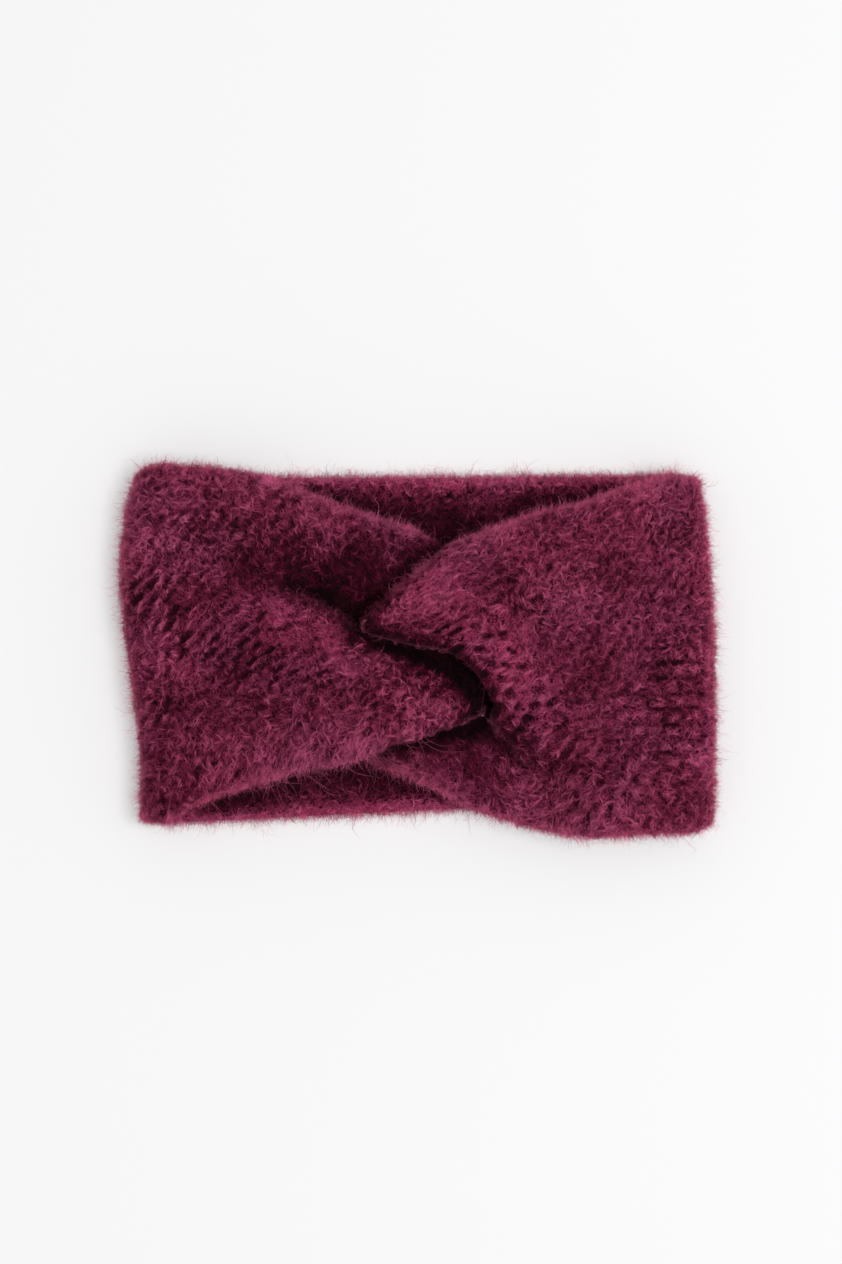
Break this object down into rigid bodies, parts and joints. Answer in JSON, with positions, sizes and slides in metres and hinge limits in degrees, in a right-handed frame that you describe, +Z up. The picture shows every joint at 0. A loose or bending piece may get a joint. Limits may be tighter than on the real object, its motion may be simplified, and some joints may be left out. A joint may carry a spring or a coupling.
{
  "type": "ear warmer headband",
  "caption": "Thick brushed-knit ear warmer headband, lying flat: two wide bands hooked through each other in a twist at the front, open inside for a head.",
  "frame": {"origin": "bottom centre of the bounding box, on the surface that the headband lies on", "axes": "+X from its left side to its right side, seen from above with the twist up; +Y towards the edge at the top of the head; +Z up, out through the twist"},
  "size_m": [0.2192, 0.1372, 0.0338],
  "materials": {
    "brushed_knit": "brushed"
  },
  "bodies": {
    "root": {"left_band": "brushed_knit", "right_band": "brushed_knit"}
  },
  "joints": []
}
